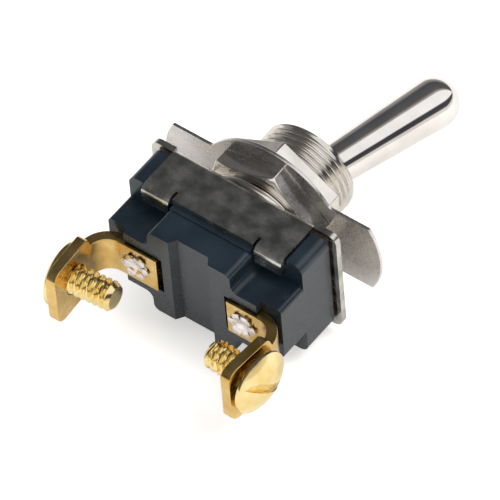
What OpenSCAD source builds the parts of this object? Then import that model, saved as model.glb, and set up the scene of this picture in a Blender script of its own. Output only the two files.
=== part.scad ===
// Panel toggle switch: bat lever, threaded bushing, moulded case, two screw terminals.
// Every piece is drawn with the bushing pointing up along +Z and the front face of
// the mounting frame's plate at z = 0. lay() then turns the finished piece, so that
// the bushing points along -Y and one flap of the frame faces up.

/* [Mounting frame] */
// Thickness of the frame's sheet steel
frame_sheet = 0.75; // [0.6:0.05:0.9]
// Width across the two flaps
frame_width = 15.06; // [14.6:0.02:16]
// Length of the front plate with its end lips
plate_length = 25.0; // [24.6:0.1:28]
// Corner radius of the end lips
lip_corner = 1.1; // [0.5:0.1:2]
// Length of each flap along the case
flap_length = 18.9; // [17:0.1:20]
// Depth of the flap's free edge below the plate's front
flap_drop = 6.2; // [5.9:0.05:6.35]
// Outside radius of the bend between plate and flap
flap_bend = 1.0; // [0.95:0.05:1.6]
// Length of each of the four tabs along the case
tab_length = 3.65; // [3:0.05:4]
// How far a folded tab reaches in from the flap's face
tab_reach = 2.35; // [1.8:0.05:3]
// Outside radius of a tab's fold
tab_fold = 1.1; // [0.95:0.05:1.4]
// Width of the relief slit beside each tab
relief_slit = 0.35; // [0.2:0.05:0.6]

/* [Case] */
// Length of the moulded case
case_length = 23.4; // [22.8:0.1:24.6]
// How far the case's end shoulders stand in from the flaps' faces
shoulder_inset = 0.33; // [0.2:0.01:0.6]
// Corner radius of the shoulders
shoulder_corner = 1.2; // [0.5:0.1:2]
// Depth of the ledge under which the tabs fold
ledge_depth = 5.85; // [5.6:0.05:6]
// Drop of the band between the tabs below the ledge
band_drop = 1.0; // [0.45:0.05:1.1]
// Length of the middle block
block_length = 11.2; // [10.6:0.1:11.4]
// How far the middle block's sides stand in from the case's sides
block_inset = 0.2; // [0.1:0.05:0.6]
// Radius of the middle block's upright edges
block_corner = 0.8; // [0.3:0.1:1.2]
// Radius in the corners between the middle block and the stem
block_fillet = 1.0; // [0.5:0.1:1.4]
// Width of the stem that carries the terminals
stem_width = 8.0; // [7.8:0.1:9]
// Corner radius at the stem's ends
stem_corner = 0.6; // [0.3:0.1:1.2]
// Height of the walls beside the terminals, above the seats
wall_rise = 0.85; // [0.6:0.05:1.4]
// Distance from the case's end to the raised walls
wall_inset = 2.7; // [2.2:0.1:3.2]
// Depth of the trough across the middle of the back
trough_depth = 0.9; // [0.3:0.05:1.1]
// Width of the trough's flat floor
trough_floor = 4.2; // [2:0.1:4.4]
// Run of each sloping side of the trough
trough_slope = 0.6; // [0.4:0.05:1.2]

/* [Case cavity] */
// Thickness of the case's end walls at the stem
end_wall = 1.8; // [1.4:0.1:2.2]
// Thickness of the case's end walls at the shoulders
shoulder_wall = 1.5; // [1.3:0.1:2.1]
// Thickness of the case's side walls between the flaps
side_wall = 1.35; // [1:0.05:1.6]
// Depth of the upper cavity's floor
upper_cavity_depth = 5.05; // [4.6:0.05:5.3]
// Width of the slot that holds the contacts
slot_width = 5.8; // [5.6:0.1:6]
// Length of the well around the rocker's pivot
well_length = 8.8; // [8:0.1:9.2]
// Width of the well around the rocker's pivot
well_width = 9.6; // [9:0.1:10]
// Depth of the case's floor below the rocker's pivot
rocker_room = 2.35; // [2.1:0.05:2.8]
// Thickness of the case's floor between the contacts and the seats
floor_wall = 1.8; // [1.6:0.1:2]

/* [Insulating sheet] */
// Thickness of the insulating sheet under the plate
insulator_sheet_t = 0.35; // [0.2:0.05:0.5]
// How far the sheet lies on the case's end walls
insulator_lap = 1.0; // [0.4:0.1:1.2]
// Diameter of the sheet's opening around the bushing
insulator_hole = 11.8; // [11.6:0.1:12.2]

/* [Bushing] */
// Outside diameter of the thread
bushing_dia = 11.9; // [11.6:0.1:12.2]
// Height of the bushing above the plate
bushing_height = 11.15; // [10.4:0.05:12]
// Diameter of the flange on the plate
flange_dia = 14.6; // [13.4:0.1:15]
// Thickness of the flange
flange_t = 0.6; // [0.4:0.1:1]
// Diameter of the spigot through the plate
spigot_dia = 10.2; // [10:0.1:10.6]
// Diameter of the lip staked over behind the plate
stake_dia = 11.2; // [10.9:0.1:11.5]
// Thickness of the staked lip
stake_t = 0.3; // [0.15:0.05:0.3]
// Diameter of the bore around the lever's ball
bore_dia = 7.5; // [7.4:0.1:7.8]
// Diameter of the bore at the plate end
bore_base_dia = 8.8; // [8.6:0.1:9]
// Height above the plate of the step between the two bores
bore_step = 0.6; // [0:0.1:1]
// Diameter of the flared mouth
mouth_dia = 9.3; // [9.2:0.1:9.6]
// Depth of the flared mouth
mouth_depth = 3.9; // [3:0.1:4.4]

/* [Nuts and legend plate] */
// Width across the flats of both nuts
nut_flats = 14.3; // [14:0.1:15]
// Thickness of each nut
nut_t = 2.35; // [2:0.05:2.4]
// Chamfer height at the nuts' corners
nut_chamfer = 0.55; // [0.3:0.05:0.7]
// Turn of the back nut about the bushing
back_nut_turn = 44.4; // [0:0.1:60]
// Turn of the front nut about the bushing
front_nut_turn = 31.4; // [0:0.1:60]
// Height of the back nut's lower face above the plate
back_nut_height = 1.55; // [1.2:0.05:2]
// Thickness of the legend plate
legend_t = 0.4; // [0.3:0.05:0.6]
// Diameter of the legend plate's disc
legend_dia = 18.7; // [17:0.1:20]
// Length over the legend plate's two ears
legend_length = 29.3; // [26:0.1:32]
// Width of the ears
ear_width = 9.9; // [8:0.1:11]
// Radius of the ears' ends
ear_end_radius = 9.75; // [7:0.05:12]
// Radius where the ears meet the disc
ear_fillet = 0.9; // [0.4:0.1:2]

/* [Lever] */
// Height of the lever's pivot above the plate
pivot_height = 5.0; // [4.6:0.05:5.4]
// Tilt of the lever at rest, half of its whole throw
lever_tilt = 16; // [12:0.5:16]
// Length of the bat from the pivot to the centre of its round end
bat_length = 21.4; // [18:0.1:24]
// Radius of the bat's round end
bat_end_radius = 2.95; // [2.6:0.05:3.4]
// Radius of the bat's cone at the pivot
bat_root_radius = 2.0; // [1.7:0.05:2.1]
// Diameter of the lever's ball
ball_dia = 6.8; // [6.4:0.1:6.9]
// Diameter of the barrel below the ball
barrel_dia = 4.0; // [3.8:0.1:4.1]
// Length of the barrel below the pivot
barrel_length = 7.3; // [7:0.1:7.5]
// Diameter of the hinge pin
pin_dia = 1.5; // [1.2:0.05:1.6]
// Length of the hinge pin
pin_length = 9.2; // [8.8:0.1:9.4]

/* [Plunger and spring] */
// Diameter of the plunger
plunger_dia = 2.8; // [2.6:0.05:2.9]
// Distance from the lever's pivot to the plunger's tip
plunger_reach = 9.1; // [8.9:0.05:9.2]
// Length of the plunger
plunger_length = 3.9; // [3.6:0.1:4.2]
// Depth of the spring's hole in the plunger
plunger_hole_depth = 2.1; // [1.8:0.1:2.3]
// Wire diameter of the spring
spring_wire = 0.3; // [0.25:0.01:0.35]
// Outside diameter of the spring
spring_dia = 1.9; // [1.8:0.05:1.95]
// Number of turns of the spring
spring_turns = 6; // [4:1:7]
// Solid length of the lever between the hinge pin and the spring
spring_seat_wall = 1.2; // [0.8:0.1:1.6]

/* [Rocker and contacts] */
// Height of the dish's floor above the rocker's pivot
dish_height = 1.5; // [1.4:0.05:1.6]
// Tilt of the rocker at rest
rocker_tilt = 7; // [5:0.5:7.5]
// Thickness of the rocker's arms
rocker_t = 0.5; // [0.4:0.05:0.6]
// Width of the rocker
rocker_width = 3.6; // [3:0.1:3.8]
// Radius of the dish that the plunger slides in
dish_radius = 4.45; // [4.3:0.05:4.6]
// Length of the rocker's saddle
saddle_length = 7.2; // [6.4:0.1:7.6]
// Height of the saddle above the underside of the arms
saddle_height = 1.9; // [1.6:0.1:2.2]
// How far the contact's arm reaches past the contact's centre
contact_arm_margin = 1.2; // [1:0.1:1.6]
// Reach of the arm on the other side
idle_arm = 5.6; // [4.6:0.1:6]
// Diameter of the rocker's trunnions
trunnion_dia = 0.8; // [0.6:0.05:0.9]
// Thickness of the rocker's cheeks
cheek_t = 0.5; // [0.4:0.05:0.6]
// Diameter of the moving contact
moving_contact_dia = 2.0; // [1.6:0.1:2.2]
// Height of the moving contact below the arm
moving_contact_height = 0.7; // [0.5:0.05:0.9]
// Diameter of the fixed contact
fixed_contact_dia = 2.6; // [2.2:0.1:3]
// Thickness of the fulcrum bracket's sheet
bracket_t = 0.6; // [0.4:0.05:0.7]
// Width of the fulcrum bracket's strip
bracket_width = 4.4; // [3.8:0.1:4.8]
// Length of the fulcrum bracket's two cheeks
bracket_cheek = 2.4; // [2:0.1:3]

/* [Terminals] */
// Thickness of the terminals' brass strip
terminal_t = 1.25; // [1:0.05:1.3]
// Width of the terminals' tongues
tongue_width = 5.0; // [4.6:0.1:5.4]
// Distance from the switch's middle to the common terminal's inner end
common_tongue_inner = 5.1; // [4:0.1:5.1]
// Distance from the switch's middle to the switched terminal's inner end
switched_tongue_inner = 4.4; // [4:0.1:5.1]
// How far a leg's outer face at the bend stands out past the case's end
leg_overhang = 1.2; // [0.9:0.1:1.6]
// Inside radius of the bend
terminal_bend = 2.2; // [1.2:0.05:2.6]
// Inward lean of the legs
leg_lean = 4; // [1:0.5:7]
// Length of a leg below its bend
leg_length = 6.65; // [6:0.05:9]
// Width of a leg at its shoulders
leg_width = 8.0; // [7.8:0.1:9]
// Width of a leg across its free end
leg_end_width = 8.0; // [5:0.1:8]
// Corner radius of a leg's free end
leg_end_corner = 1.4; // [0.8:0.1:2]
// Size of the bevels at a leg's shoulders
shoulder_bevel = 0.4; // [0.2:0.1:0.8]
// Distance from the end of the bend to the shoulders
shoulder_drop = -0.5; // [-0.6:0.05:0.6]
// Distance from the end of the bend to the screw's axis
screw_drop = 2.8; // [2.6:0.05:4]

/* [Rivets and screws] */
// Distance from the case's end to each rivet's axis
rivet_inset = 4.5; // [4.3:0.05:4.7]
// Diameter of the rivets' shanks
rivet_dia = 2.5; // [2.2:0.1:2.7]
// Diameter of the rivets' inner heads
rivet_head_dia = 4.0; // [3.6:0.1:4.4]
// Thickness of the rivets' inner heads
rivet_head_t = 0.6; // [0.4:0.05:0.65]
// Diameter across the flared petals
flare_dia = 4.2; // [3.8:0.1:4.6]
// Thickness of the flared petals
flare_t = 0.4; // [0.3:0.05:0.5]
// Thickness of the wall around a rivet's hollow, on both sides together
rivet_eyelet_wall = 0.2; // [0.1:0.05:0.4]
// Width of a petal where it leaves the shank
petal_width = 1.5; // [1:0.1:1.6]
// Length of a petal's pointed tip
petal_tip = 0.25; // [0.1:0.05:0.4]
// Diameter of the terminal screws' threads
screw_dia = 3.5; // [3.2:0.1:3.7]
// Length of the screws under their heads
screw_length = 6.4; // [4.5:0.1:6.6]
// Diameter of the screws' heads
screw_head_dia = 7.6; // [7:0.1:8]
// Height of the chamfer at a screw's end
screw_point = 0.4; // [0.2:0.05:0.6]
// Height of the upright rim of a screw's head
screw_rim = 0.5; // [0.3:0.05:0.7]
// Height of the dome above the rim
screw_dome = 1.3; // [1:0.1:1.5]
// Width of the screwdriver slot
slot_cut_width = 1.0; // [0.8:0.05:1.2]
// Depth of the screwdriver slot
slot_cut_depth = 1.0; // [0.7:0.05:1.1]
// How far the common terminal's screw is backed off its leg
screw_slack = 0.45; // [0.05:0.05:0.8]
// Turn of the screw in the common terminal
common_screw_turn = 40; // [-90:1:90]
// Turn of the screw in the switched terminal
switched_screw_turn = -25; // [-90:1:90]

/* [Clearances] */
// Gap between pieces that lie flat against each other
face_gap = 0.02; // [0.01:0.01:0.05]
// Radial clearance of a turning fit
running_gap = 0.05; // [0.02:0.01:0.08]
// Gap beside a loose piece
loose_gap = 0.2; // [0.1:0.05:0.3]
// Gap between a terminal's inner end and the end of its pocket
pocket_gap = 0.5; // [0.2:0.05:0.7]
// Gap under the plunger's tip and between the contacts
contact_gap = 0.1; // [0.06:0.01:0.15]

/* [Hidden] */
$fn = 64;

cut = 0.5;                      // overshoot of a cutting shape past a face
seam = 0.02;                    // overlap of two shapes that form one piece
plate_back = -frame_sheet;
case_top = plate_back - insulator_sheet_t;
ledge = -ledge_depth;
pivot_spacing = plunger_reach + contact_gap + dish_height;
rocker_height = pivot_height - pivot_spacing;
cavity_floor = rocker_height - rocker_room;
seat = cavity_floor - floor_wall;
case_back = seat - wall_rise;
case_end = case_length / 2;
flap_half = flap_length / 2;
frame_half = frame_width / 2;
tab_inner = flap_half - tab_length;
panel_half = frame_half - frame_sheet - face_gap;   // half width between the flaps
slit_half = tab_inner - relief_slit;
block_width = 2 * (panel_half - block_inset);
wall_half = case_end - wall_inset;
upper_cavity_length = 2 * (case_end - shoulder_wall);
upper_cavity_width = 2 * (panel_half - side_wall);
rivet_place = case_end - rivet_inset;
leg_reach = case_end + leg_overhang;
nut_corner_dia = nut_flats / cos(30);
legend_height = back_nut_height + nut_t + face_gap;
front_nut_height = legend_height + legend_t + face_gap;
arm_under = dish_height - rocker_t;
contact_tip = arm_under - moving_contact_height;
contact_flat = moving_contact_dia / 4;
fixed_top = rocker_height - (rivet_place + contact_flat) * sin(rocker_tilt)
    + contact_tip * cos(rocker_tilt) - contact_gap;
spring_top = -pin_dia / 2 - spring_seat_wall;
spring_bottom = -plunger_reach + plunger_length - plunger_hole_depth;
bend_place = leg_reach - terminal_bend - terminal_t;
bend_height = seat - terminal_t - terminal_bend;
cheek_inside = rocker_width / 2 + cheek_t + loose_gap;
cheek_outside = cheek_inside + bracket_t;

module lay() { rotate([90, 0, 0]) children(); }

// Draws its children upright between the heights low and high.
module between(low, high) { translate([0, 0, low]) linear_extrude(high - low) children(); }

// Extrudes an outline drawn in (y, z) along x, centred.
module along_x(length) { rotate([90, 0, 90]) linear_extrude(length, center = true) children(); }

// Extrudes an outline drawn in (x, z) along y, centred.
module along_y(length) { rotate([90, 0, 0]) linear_extrude(length, center = true) children(); }

module both_sides() {
    children();
    mirror([0, 1, 0]) children();
}

module both_ends() {
    children();
    mirror([1, 0, 0]) children();
}

module rounded_rect(length, width, radius) {
    square([length, width - 2 * radius], center = true);
    square([length - 2 * radius, width], center = true);
    both_ends() both_sides() translate([length / 2 - radius, width / 2 - radius]) circle(radius);
}

// A quarter of a bent sheet, about the origin, in the quadrant x > 0, y > 0.
module sheet_bend(outside, thickness) {
    intersection() {
        difference() {
            circle(outside);
            circle(outside - thickness);
        }
        square(outside);
    }
}

// Points along a round corner, from one direction to another.
function corner_points(centre, radius, from, to, steps) =
    [
        for (step = [0:steps])
            let (turn = from + (to - from) * step / steps)
            centre + radius * [cos(turn), sin(turn)]
    ];

// Turns and tilts a piece of the lever about the hinge pin.
module on_lever() {
    translate([0, 0, pivot_height]) rotate([0, -lever_tilt, 0]) children();
}

// Tilts a piece of the rocker about its trunnions.
module on_rocker() {
    translate([0, 0, rocker_height]) rotate([0, rocker_tilt, 0]) children();
}

// ---- Mounting frame ----

module plate_outline() {
    difference() {
        rounded_rect(plate_length, frame_width, lip_corner);
        both_sides() translate([-flap_half, frame_half - flap_bend]) square([flap_length, flap_bend + cut]);
    }
}

module flap_section(depth) {
    translate([frame_half - flap_bend, -flap_bend]) sheet_bend(flap_bend, frame_sheet);
    translate([frame_half - frame_sheet, -depth]) square([frame_sheet, depth - flap_bend]);
}

module tab_section() {
    fold_y = frame_half - tab_fold;
    fold_z = ledge - face_gap - frame_sheet + tab_fold;
    flap_section(-fold_z);
    translate([fold_y, fold_z]) mirror([0, 1]) sheet_bend(tab_fold, frame_sheet);
    translate([frame_half - tab_reach, fold_z - tab_fold]) square([tab_reach - tab_fold, frame_sheet]);
}

module frame_side() {
    fold_start = tab_fold - frame_sheet - face_gap + ledge;
    along_x(2 * slit_half) flap_section(flap_drop);
    along_x(flap_length) flap_section(-fold_start - cut);
    both_ends() translate([flap_half - tab_length / 2, 0, 0]) along_x(tab_length) tab_section();
}

module mounting_frame() {
    color("silver") lay() difference() {
        union() {
            between(plate_back, 0) plate_outline();
            both_sides() frame_side();
        }
        between(plate_back - cut, cut) circle(d = spigot_dia + 2 * face_gap);
    }
}

// ---- Case ----

module shoulder_outline() {
    recess = 2 * (frame_half - panel_half) + cut;
    difference() {
        rounded_rect(case_length, frame_width - 2 * shoulder_inset, shoulder_corner);
        both_sides() translate([-flap_half - loose_gap, panel_half])
            square([flap_length + 2 * loose_gap, recess]);
    }
}

module stem_outline() {
    rounded_rect(case_length, stem_width, stem_corner);
    rounded_rect(block_length, block_width, block_corner);
    both_ends() both_sides() translate([block_length / 2, stem_width / 2]) difference() {
        square(block_fillet);
        translate([block_fillet, block_fillet]) circle(block_fillet);
    }
}

// The raised back with its trough, as an outline in (x, z).
module back_outline() {
    floor_half = trough_floor / 2;
    polygon([
        [-case_end, case_top], [-case_end, seat], [-wall_half, seat],
        [-wall_half, case_back], [-floor_half - trough_slope, case_back],
        [-floor_half, case_back + trough_depth], [floor_half, case_back + trough_depth],
        [floor_half + trough_slope, case_back], [wall_half, case_back],
        [wall_half, seat], [case_end, seat], [case_end, case_top]
    ]);
}

module case_solid() {
    fold_room = tab_fold - frame_sheet + cut;
    difference() {
        between(ledge, case_top) shoulder_outline();
        // room for the inside of the tabs' folds
        both_sides() translate([0, panel_half, ledge]) rotate([45, 0, 0])
            cube([flap_length + 2 * loose_gap, fold_room, fold_room], center = true);
    }
    between(ledge - band_drop, case_top) square([2 * slit_half - loose_gap, 2 * panel_half], center = true);
    intersection() {
        between(case_back, ledge) stem_outline();
        along_y(block_width) back_outline();
    }
}

module case_cavity() {
    slot_length = case_length - 2 * end_wall;
    between(-upper_cavity_depth, case_top + cut)
        square([upper_cavity_length, upper_cavity_width], center = true);
    between(cavity_floor, case_top) square([slot_length, slot_width], center = true);
    between(cavity_floor, case_top) square([well_length, well_width], center = true);
}

module terminal_pocket(tongue_inner) {
    pocket_inner = tongue_inner - pocket_gap;
    pocket_width = tongue_width + 2 * loose_gap;
    translate([pocket_inner, -pocket_width / 2, case_back - cut])
        cube([case_end - pocket_inner + cut, pocket_width, wall_rise + cut]);
}

module case() {
    color([0.1, 0.1, 0.12]) lay() difference() {
        case_solid();
        case_cavity();
        terminal_pocket(switched_tongue_inner);
        mirror([1, 0, 0]) terminal_pocket(common_tongue_inner);
        both_ends() translate([rivet_place, 0, 0]) between(case_back, cavity_floor + cut)
            circle(d = rivet_dia + 2 * face_gap);
    }
}

module insulating_sheet() {
    color([0.35, 0.25, 0.2]) lay() difference() {
        between(case_top, plate_back)
            square([upper_cavity_length + 2 * insulator_lap, 2 * (panel_half - loose_gap)], center = true);
        between(case_top - cut, plate_back + cut) circle(d = insulator_hole);
    }
}

// ---- Bushing, nuts and legend plate ----

module bushing_bore() {
    between(plate_back - stake_t - cut, bore_step) circle(d = bore_base_dia);
    between(bore_step - face_gap, bushing_height) circle(d = bore_dia);
    translate([0, 0, bushing_height - mouth_depth]) cylinder(d1 = bore_dia, d2 = mouth_dia, h = mouth_depth);
    between(bushing_height - face_gap, bushing_height + cut) circle(d = mouth_dia);
}

// The two slots in which the hinge pin is held, open towards the case.
module pin_slots() {
    slot_length = pin_length + loose_gap;
    slot_across = pin_dia + 2 * face_gap;
    translate([0, 0, pivot_height]) rotate([90, 0, 0]) cylinder(d = slot_across, h = slot_length, center = true);
    between(plate_back - stake_t - cut, pivot_height) square([slot_across, slot_length], center = true);
}

module threaded_bushing() {
    color("silver") lay() difference() {
        union() {
            between(0, bushing_height) circle(d = bushing_dia);
            between(0, flange_t) circle(d = flange_dia);
            between(plate_back, 0) circle(d = spigot_dia);
            between(plate_back - stake_t, plate_back) circle(d = stake_dia);
        }
        bushing_bore();
        pin_slots();
    }
}

// A hexagonal nut with its corners chamfered on the side that faces the case.
module hex_nut(turn, height) {
    chamfer_run = nut_chamfer / tan(30);
    color("silver") lay() translate([0, 0, height]) difference() {
        intersection() {
            rotate(turn) cylinder(d = nut_corner_dia, h = nut_t, $fn = 6);
            union() {
                cylinder(d1 = nut_corner_dia - 2 * chamfer_run, d2 = nut_corner_dia, h = nut_chamfer);
                translate([0, 0, nut_chamfer]) cylinder(d = nut_corner_dia, h = nut_t - nut_chamfer);
            }
        }
        between(-cut, nut_t + cut) circle(d = bushing_dia + 2 * running_gap);
    }
}

module back_nut() { hex_nut(back_nut_turn, back_nut_height); }

module front_nut() { hex_nut(front_nut_turn, front_nut_height); }

// A quarter of the legend plate's edge, from the end of an ear to the disc's side.
function legend_edge() =
    let (
        disc = legend_dia / 2,
        ear = ear_width / 2,
        end_centre = legend_length / 2 - ear_end_radius,
        fillet_x = sqrt(pow(disc + ear_fillet, 2) - pow(ear + ear_fillet, 2)),
        fillet_turn = atan((ear + ear_fillet) / fillet_x)
    )
    concat(
        corner_points([end_centre, 0], ear_end_radius, 0, asin(ear / ear_end_radius), 12),
        corner_points([fillet_x, ear + ear_fillet], ear_fillet, 270, 180 + fillet_turn, 8),
        corner_points([0, 0], disc, fillet_turn + 2, 90, 24)
    );

module legend_outline() {
    quarter = legend_edge();
    half = concat(quarter, [for (step = [len(quarter) - 2:-1:0]) [-quarter[step][0], quarter[step][1]]]);
    polygon(concat(half, [for (step = [len(half) - 2:-1:1]) [half[step][0], -half[step][1]]]));
}

module legend_plate() {
    color("lightgray") lay() between(legend_height, legend_height + legend_t) difference() {
        legend_outline();
        circle(d = bushing_dia + 2 * running_gap);
    }
}

// ---- Lever ----

module lever() {
    plunger_bore = plunger_dia + 2 * running_gap;
    color("gainsboro") lay() on_lever() difference() {
        union() {
            cylinder(r1 = bat_root_radius, r2 = bat_end_radius, h = bat_length);
            translate([0, 0, bat_length]) sphere(bat_end_radius);
            sphere(d = ball_dia);
            between(-barrel_length, 0) circle(d = barrel_dia);
        }
        rotate([90, 0, 0]) cylinder(d = pin_dia + 2 * running_gap, h = ball_dia + cut, center = true);
        between(-barrel_length - cut, spring_top) circle(d = plunger_bore);
    }
}

module hinge_pin() {
    color("gray") lay() translate([0, 0, pivot_height]) rotate([90, 0, 0])
        cylinder(d = pin_dia, h = pin_length, center = true);
}

module plunger() {
    tip = plunger_dia / 2;
    color("gold") lay() on_lever() difference() {
        union() {
            translate([0, 0, tip - plunger_reach]) sphere(tip);
            between(tip - plunger_reach, plunger_length - plunger_reach) circle(tip);
        }
        between(spring_bottom, cut - plunger_reach + plunger_length) circle(d = spring_dia + 2 * running_gap);
    }
}

// A helix of round wire, as rings of eight points swept along the coil.
module coil(low, high, mean_radius, wire, turns) {
    sides = 8;
    per_turn = 14;
    rings = turns * per_turn;
    pitch = (high - low - wire) / turns;
    slope = atan(pitch / (2 * PI * mean_radius));
    function ring_point(ring, side) =
        let (along = 360 * ring / per_turn, around = 360 * side / sides)
        let (out = mean_radius + wire / 2 * cos(around), lift = wire / 2 * sin(around))
        [
            out * cos(along) + lift * sin(slope) * sin(along),
            out * sin(along) - lift * sin(slope) * cos(along),
            low + wire / 2 + pitch * ring / per_turn + lift * cos(slope)
        ];
    points = [for (ring = [0:rings]) for (side = [0:sides - 1]) ring_point(ring, side)];
    walls = [
        for (ring = [0:rings - 1]) for (side = [0:sides - 1])
            let (next = (side + 1) % sides, low_ring = ring * sides, high_ring = low_ring + sides)
            [low_ring + side, high_ring + side, high_ring + next, low_ring + next]
    ];
    first = [for (side = [0:sides - 1]) side];
    last = [for (side = [sides - 1:-1:0]) rings * sides + side];
    polyhedron(points, concat(walls, [first], [last]), convexity = 10);
}

module plunger_spring() {
    mean_radius = (spring_dia - spring_wire) / 2;
    color("gray") lay() on_lever()
        coil(spring_bottom + face_gap, spring_top - face_gap, mean_radius, spring_wire, spring_turns);
}

// ---- Rocker and contacts ----

module rocker_outline() {
    difference() {
        union() {
            translate([-idle_arm, arm_under]) square([idle_arm + rivet_place + contact_arm_margin, rocker_t]);
            translate([-saddle_length / 2, arm_under]) square([saddle_length, saddle_height]);
        }
        translate([0, dish_height + dish_radius]) circle(dish_radius);
    }
}

module rocker() {
    cheek_half = trunnion_dia;
    trunnion_reach = cheek_outside + loose_gap;
    color("peru") lay() on_rocker() {
        difference() {
            along_y(rocker_width) rocker_outline();
            translate([rivet_place, 0, 0]) between(arm_under - cut, dish_height + cut)
                circle(d = moving_contact_dia / 2);
        }
        both_sides() {
            translate([-cheek_half, rocker_width / 2, -trunnion_dia / 2])
                cube([2 * cheek_half, cheek_t, dish_height]);
            rotate([-90, 0, 0]) cylinder(d = trunnion_dia, h = trunnion_reach);
        }
    }
}

module moving_contact() {
    color("whitesmoke") lay() on_rocker() translate([rivet_place, 0, 0]) {
        between(arm_under, dish_height) circle(d = moving_contact_dia / 2);
        between(contact_tip + moving_contact_height / 2, arm_under) circle(d = moving_contact_dia);
        translate([0, 0, contact_tip])
            cylinder(r1 = contact_flat, d2 = moving_contact_dia, h = moving_contact_height / 2);
    }
}

module fulcrum_bracket() {
    cheek_half = bracket_cheek / 2;
    cheek_height = rocker_height + trunnion_dia - cavity_floor;
    notch = trunnion_dia / 2 + running_gap;
    strip_end = rivet_place + rivet_head_dia / 2;
    color("goldenrod") lay() difference() {
        union() {
            translate([-strip_end, -bracket_width / 2, cavity_floor])
                cube([strip_end + cheek_half, bracket_width, bracket_t]);
            translate([-cheek_half, -cheek_outside, cavity_floor])
                cube([2 * cheek_half, 2 * cheek_outside, bracket_t]);
            both_sides() translate([-cheek_half, cheek_inside, cavity_floor])
                cube([2 * cheek_half, bracket_t, cheek_height]);
        }
        translate([0, 0, rocker_height]) rotate([90, 0, 0])
            cylinder(r = notch, h = 2 * cheek_outside + cut, center = true);
        translate([-notch, -cheek_outside - cut, rocker_height])
            cube([2 * notch, 2 * cheek_outside + 2 * cut, trunnion_dia + cut]);
        translate([-rivet_place, 0, 0]) between(cavity_floor - cut, cavity_floor + bracket_t + cut)
            circle(d = rivet_dia + 2 * face_gap);
    }
}

module fixed_contact() {
    color("whitesmoke") lay() translate([rivet_place, 0, 0])
        between(cavity_floor + rivet_head_t, fixed_top) circle(d = fixed_contact_dia);
}

// ---- Terminals ----

// Moves to a leg's outer face at the end of its bend; z then runs out of the leg
// and x down it.
module on_leg() {
    outside = terminal_bend + terminal_t;
    translate([bend_place + outside * cos(leg_lean), 0, bend_height - outside * sin(leg_lean)])
        rotate([0, 90 + leg_lean, 0]) children();
}

// The bent strip seen from the side, in (x, z): tongue, bend and leg.
module strip_section(tongue_inner) {
    outside = terminal_bend + terminal_t;
    translate([tongue_inner, seat - terminal_t]) square([bend_place - tongue_inner + seam, terminal_t]);
    translate([bend_place, bend_height]) {
        sheet_bend(outside, terminal_t);
        intersection() {
            difference() {
                circle(outside);
                circle(terminal_bend);
            }
            polygon([[0, seam], [2 * outside, seam], [2 * outside, -2 * outside * tan(leg_lean)], [0, 0]]);
        }
        rotate(-leg_lean) translate([terminal_bend, -leg_length]) square([terminal_t, leg_length + seam]);
    }
}

// One side of the strip seen from its end, in (y, z): narrow tongue, shoulder, leg.
function half_front() =
    let (
        top = bend_height - (terminal_bend + terminal_t) * sin(leg_lean),
        tongue = tongue_width / 2,
        leg = leg_width / 2,
        end = leg_end_width / 2,
        shoulder = top - shoulder_drop - shoulder_bevel,
        free_end = top - leg_length * cos(leg_lean)
    )
    concat(
        [
            [tongue, seat + cut], [tongue, top - shoulder_drop],
            [leg - shoulder_bevel, shoulder], [leg, shoulder - shoulder_bevel]
        ],
        [[leg, top - screw_drop]],
        corner_points([end - leg_end_corner, free_end + leg_end_corner], leg_end_corner, 0, -90, 6)
    );

module front_outline() {
    right = half_front();
    polygon(concat(right, [for (step = [len(right) - 1:-1:0]) [-right[step][0], right[step][1]]]));
}

module terminal(tongue_inner) {
    rivet_hole = rivet_dia + 2 * face_gap;
    screw_hole = screw_dia + 2 * running_gap;
    difference() {
        intersection() {
            along_y(leg_width + 1) strip_section(tongue_inner);
            translate([leg_reach, 0, 0]) along_x(2 * leg_reach) front_outline();
        }
        translate([rivet_place, 0, 0]) between(seat - terminal_t - cut, seat + cut) circle(d = rivet_hole);
        on_leg() translate([screw_drop, 0, 0]) between(-terminal_t - cut, cut) circle(d = screw_hole);
    }
}

module switched_terminal() { color("darkgoldenrod") lay() terminal(switched_tongue_inner); }

module common_terminal() { color("darkgoldenrod") lay() mirror([1, 0, 0]) terminal(common_tongue_inner); }

// ---- Rivets and screws ----

// The swaged end of a rivet: petals spread over the terminal around a hollow.
module flare_outline() {
    petals = 6;
    petal_side = flare_dia / 2 - petal_tip;
    circle(d = rivet_dia + 2 * petal_tip);
    for (petal = [0:petals - 1]) rotate(petal * 360 / petals)
        polygon([
            [0, -petal_width / 2], [petal_side, -petal_width / 3], [flare_dia / 2, 0],
            [petal_side, petal_width / 3], [0, petal_width / 2]
        ]);
}

module rivet(head_base) {
    outer = seat - terminal_t;
    between(outer, head_base) circle(d = rivet_dia);
    between(head_base, head_base + rivet_head_t) circle(d = rivet_head_dia);
    difference() {
        between(outer - flare_t, outer) flare_outline();
        translate([0, 0, outer - flare_t - face_gap])
            cylinder(d1 = rivet_dia - rivet_eyelet_wall, d2 = rivet_dia / 3, h = flare_t);
    }
}

module switched_rivet() {
    color("lightgray") lay() translate([rivet_place, 0, 0]) rivet(cavity_floor);
}

module common_rivet() {
    color("lightgray") lay() translate([-rivet_place, 0, 0]) rivet(cavity_floor + bracket_t);
}

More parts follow.
